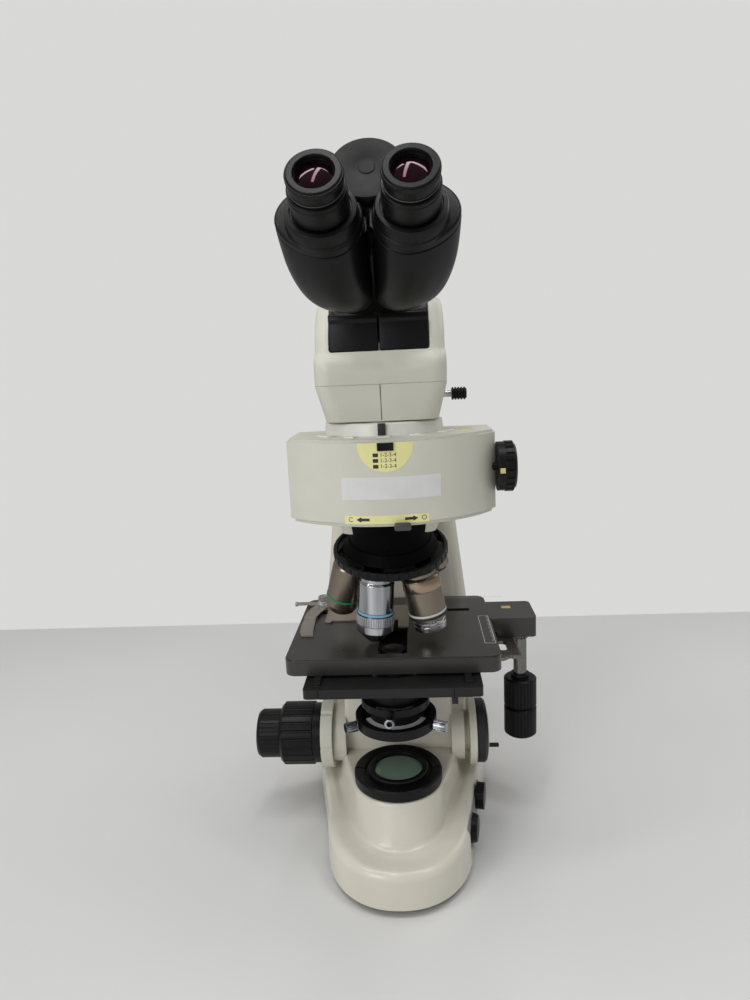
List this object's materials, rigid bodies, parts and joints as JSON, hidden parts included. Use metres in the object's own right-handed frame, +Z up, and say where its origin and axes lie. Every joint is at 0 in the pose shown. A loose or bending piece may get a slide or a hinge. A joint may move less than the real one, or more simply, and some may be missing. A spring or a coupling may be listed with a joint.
{
  "type": "compound microscope",
  "caption": "Upright compound microscope with a binocular tilting head, an epi-fluorescence filter housing, a tilted nosepiece, a mechanical stage and coaxial focus knobs.",
  "frame": {"origin": "on the bench, under the optical axis, in the plane of the feet", "axes": "+X to the user's right, +Y to the back, +Z up along the optical axis"},
  "size_m": [0.282, 0.4637, 0.5996],
  "materials": {
    "cream_paint": "satin",
    "black_plastic": "satin",
    "black_paint": "satin",
    "stage_paint": "satin",
    "bare_steel": "brushed",
    "rack_steel": "brushed",
    "gear_brass": "satin",
    "foot_rubber": "matte",
    "lens_glass": "polished",
    "grey_panel": "satin",
    "cream_plastic": "satin",
    "holder_paint": "satin",
    "clear_plastic": "polished",
    "champagne_metal": "satin",
    "chrome_metal": "polished",
    "mirror_glass": "polished",
    "carrier_alloy": "satin"
  },
  "bodies": {
    "stand": {"base_casting": "cream_paint", "base_cover": "black_paint", "rubber_feet": "foot_rubber", "limb": "cream_paint", "lamp_cover": "black_plastic", "halogen_lamp": "bare_steel", "field_mirror": "mirror_glass", "field_cell": "black_paint", "field_lens": "lens_glass", "control_panel": "grey_panel", "nosepiece_mount": "carrier_alloy", "filter_housing": "cream_plastic", "illuminator_arm": "cream_paint", "head_ring": "cream_plastic", "head_lower": "cream_plastic", "head_upper": "cream_plastic", "tilt_cover": "black_plastic"},
    "field_grip": {"field_ring": "black_plastic"},
    "dial": {"brightness_dial": "black_plastic"},
    "switch": {"power_switch": "black_plastic"},
    "torque": {"torque_ring": "cream_plastic"},
    "coarse": {"coarse_shaft": "bare_steel", "coarse_knob": "black_plastic"},
    "fine": {"fine_knob": "black_plastic", "fine_disc": "cream_plastic"},
    "layshaft": {"focus_layshaft": "gear_brass"},
    "carrier": {"stage_carrier": "carrier_alloy", "stage_lower_plate": "carrier_alloy", "stage_y_rack": "rack_steel"},
    "stage": {"stage_top_plate": "stage_paint"},
    "y_handle": {"y_shaft": "bare_steel", "y_knob": "black_plastic"},
    "x_handle": {"x_knob": "black_plastic"},
    "slide_stage": {"x_carriage": "carrier_alloy", "slide_holder": "holder_paint", "clip_knob": "clear_plastic"},
    "clip": {"slide_clip": "holder_paint"},
    "condenser": {"condenser_carriage": "carrier_alloy", "condenser_body": "carrier_alloy"},
    "condenser_drive": {"condenser_knob": "black_plastic"},
    "aperture": {"aperture_ring": "black_plastic"},
    "screw_left": {"centring_screw_left": "chrome_metal"},
    "screw_right": {"centring_screw_right": "chrome_metal"},
    "nosepiece": {"nosepiece_ring": "black_paint", "objective_green": "champagne_metal", "objective_blue": "chrome_metal", "objective_white": "champagne_metal", "objective_red": "champagne_metal", "objective_yellow": "champagne_metal"},
    "collar": {"correction_collar": "chrome_metal"},
    "tip": {"spring_tip": "chrome_metal"},
    "turret": {"filter_turret": "black_plastic"},
    "turret_knob": {"filter_knob": "black_plastic"},
    "shutter": {"shutter_slider": "black_plastic"},
    "light_path": {"light_path_rod": "bare_steel"},
    "tilt": {"tilt_arm": "black_plastic"},
    "left_wing": {"wing_left": "black_plastic"},
    "right_wing": {"wing_right": "black_plastic"},
    "left_eyepiece": {"eyepiece_left": "black_plastic"},
    "right_eyepiece": {"eyepiece_right": "black_plastic"}
  },
  "joints": [
    {"name": "stage_focus", "type": "slide", "parent": "stand", "child": "carrier", "axis": [0, 0, 1], "range_m": [-0.025, 0]},
    {"name": "coarse_focus", "type": "hinge", "parent": "stand", "child": "coarse", "pos_m": [0, 0.065, 0.085], "axis": [1, 0, 0], "range_deg": [-640, 0]},
    {"name": "focus_gear", "type": "hinge", "parent": "stand", "child": "layshaft", "pos_m": [0, 0.098, 0.085], "axis": [1, 0, 0], "range_deg": [0, 205]},
    {"name": "fine_focus", "type": "hinge", "parent": "stand", "child": "fine", "pos_m": [0, 0.065, 0.085], "axis": [1, 0, 0], "continuous": true},
    {"name": "torque_adjust", "type": "hinge", "parent": "stand", "child": "torque", "pos_m": [0, 0.065, 0.085], "axis": [1, 0, 0], "range_deg": [0, 90]},
    {"name": "field_iris", "type": "hinge", "parent": "stand", "child": "field_grip", "pos_m": [0, 0, 0.079], "axis": [0, 0, 1], "range_deg": [0, 60]},
    {"name": "brightness", "type": "hinge", "parent": "stand", "child": "dial", "pos_m": [0.07447, 0.03236, 0.033], "axis": [0.9806, -0.1959, 0], "range_deg": [0, 270]},
    {"name": "power", "type": "hinge", "parent": "stand", "child": "switch", "pos_m": [0.06702, -0.0049, 0.024], "axis": [0.9806, -0.1959, 0], "range_deg": [0, 40]},
    {"name": "stage_y", "type": "slide", "parent": "carrier", "child": "stage", "axis": [0, 1, 0], "range_m": [-0.046, 0.008]},
    {"name": "stage_y_knob", "type": "hinge", "parent": "stage", "child": "y_handle", "pos_m": [0.123, 0.066, 0.15], "axis": [0, 0, 1], "range_deg": [-377, 66]},
    {"name": "stage_x", "type": "slide", "parent": "stage", "child": "slide_stage", "axis": [1, 0, 0], "range_m": [-0.011, 0.067]},
    {"name": "stage_x_knob", "type": "hinge", "parent": "stage", "child": "x_handle", "pos_m": [0.123, 0.066, 0.15], "axis": [0, 0, 1], "range_deg": [-549, 91]},
    {"name": "slide_clamp", "type": "hinge", "parent": "slide_stage", "child": "clip", "pos_m": [-0.074, 0.101, 0.2096], "axis": [0, 0, 1], "range_deg": [-20, 0], "stiffness_Nm_per_rad": 0.05, "springref_deg": 17.19},
    {"name": "condenser_focus", "type": "slide", "parent": "carrier", "child": "condenser", "axis": [0, 0, 1], "range_m": [-0.015, 0]},
    {"name": "condenser_focus_knob", "type": "hinge", "parent": "condenser", "child": "condenser_drive", "pos_m": [-0.03, 0.0409, 0.15], "axis": [1, 0, 0], "range_deg": [0, 154]},
    {"name": "aperture_lever", "type": "hinge", "parent": "condenser", "child": "aperture", "pos_m": [0, 0, 0.1535], "axis": [0, 0, 1], "range_deg": [-60, 60]},
    {"name": "centring_left", "type": "hinge", "parent": "condenser", "child": "screw_left", "pos_m": [-0.03625, -0.0169, 0.1355], "axis": [-0.9063, -0.4226, 0], "range_deg": [-180, 180]},
    {"name": "centring_right", "type": "hinge", "parent": "condenser", "child": "screw_right", "pos_m": [0.03625, -0.0169, 0.1355], "axis": [0.9063, -0.4226, 0], "range_deg": [-180, 180]},
    {"name": "objective_change", "type": "hinge", "parent": "stand", "child": "nosepiece", "pos_m": [0, 0.03671, 0.27833], "axis": [0, -0.2588, 0.9659], "continuous": true},
    {"name": "correction", "type": "hinge", "parent": "nosepiece", "child": "collar", "pos_m": [-0.01174, 0.0018, 0.26898], "axis": [0.08, -0.0122, 0.9967], "range_deg": [-60, 60]},
    {"name": "sprung_tip", "type": "slide", "parent": "nosepiece", "child": "tip", "axis": [-0.1732, -0.0642, 0.9828], "range_m": [0, 0.0015], "stiffness_N_per_m": 600, "springref_m": -0.001},
    {"name": "filter_change", "type": "hinge", "parent": "stand", "child": "turret", "pos_m": [0, -0.027, 0.36], "axis": [0, 0, 1], "continuous": true},
    {"name": "filter_change_knob", "type": "hinge", "parent": "stand", "child": "turret_knob", "pos_m": [0.09, -0.027, 0.368], "axis": [1, 0, 0], "continuous": true},
    {"name": "shutter_move", "type": "slide", "parent": "stand", "child": "shutter", "axis": [1, 0, 0], "range_m": [-0.033, 0.006]},
    {"name": "light_path_pull", "type": "slide", "parent": "stand", "child": "light_path", "axis": [1, 0, 0], "range_m": [-0.005, 0.015]},
    {"name": "head_tilt", "type": "hinge", "parent": "stand", "child": "tilt", "pos_m": [0, 0.014, 0.488], "axis": [1, 0, 0], "range_deg": [0, 20]},
    {"name": "right_wing_swing", "type": "hinge", "parent": "tilt", "child": "right_wing", "pos_m": [0, -0.105, 0.576], "axis": [0, -0.866, 0.5], "range_deg": [0, 12]},
    {"name": "left_wing_swing", "type": "hinge", "parent": "tilt", "child": "left_wing", "pos_m": [0, -0.105, 0.576], "axis": [0, -0.866, 0.5], "range_deg": [-12, 0]},
    {"name": "left_diopter", "type": "hinge", "parent": "left_wing", "child": "left_eyepiece", "pos_m": [-0.0279, -0.126, 0.53963], "axis": [0, -0.866, 0.5], "range_deg": [-90, 90]},
    {"name": "right_diopter", "type": "hinge", "parent": "right_wing", "child": "right_eyepiece", "pos_m": [0.0279, -0.126, 0.53963], "axis": [0, -0.866, 0.5], "range_deg": [-90, 90]}
  ],
  "couplings": [
    {"joint": "coarse_focus", "follows": "stage_focus", "rad_per_m": 446.43},
    {"joint": "focus_gear", "follows": "stage_focus", "rad_per_m": -142.86},
    {"joint": "stage_y_knob", "follows": "stage_y", "rad_per_m": 142.86},
    {"joint": "stage_x_knob", "follows": "stage_x", "rad_per_m": -142.86},
    {"joint": "condenser_focus_knob", "follows": "condenser_focus", "rad_per_m": -178.57},
    {"joint": "filter_change_knob", "follows": "filter_change", "ratio": 1},
    {"joint": "left_wing_swing", "follows": "right_wing_swing", "ratio": -1}
  ]
}
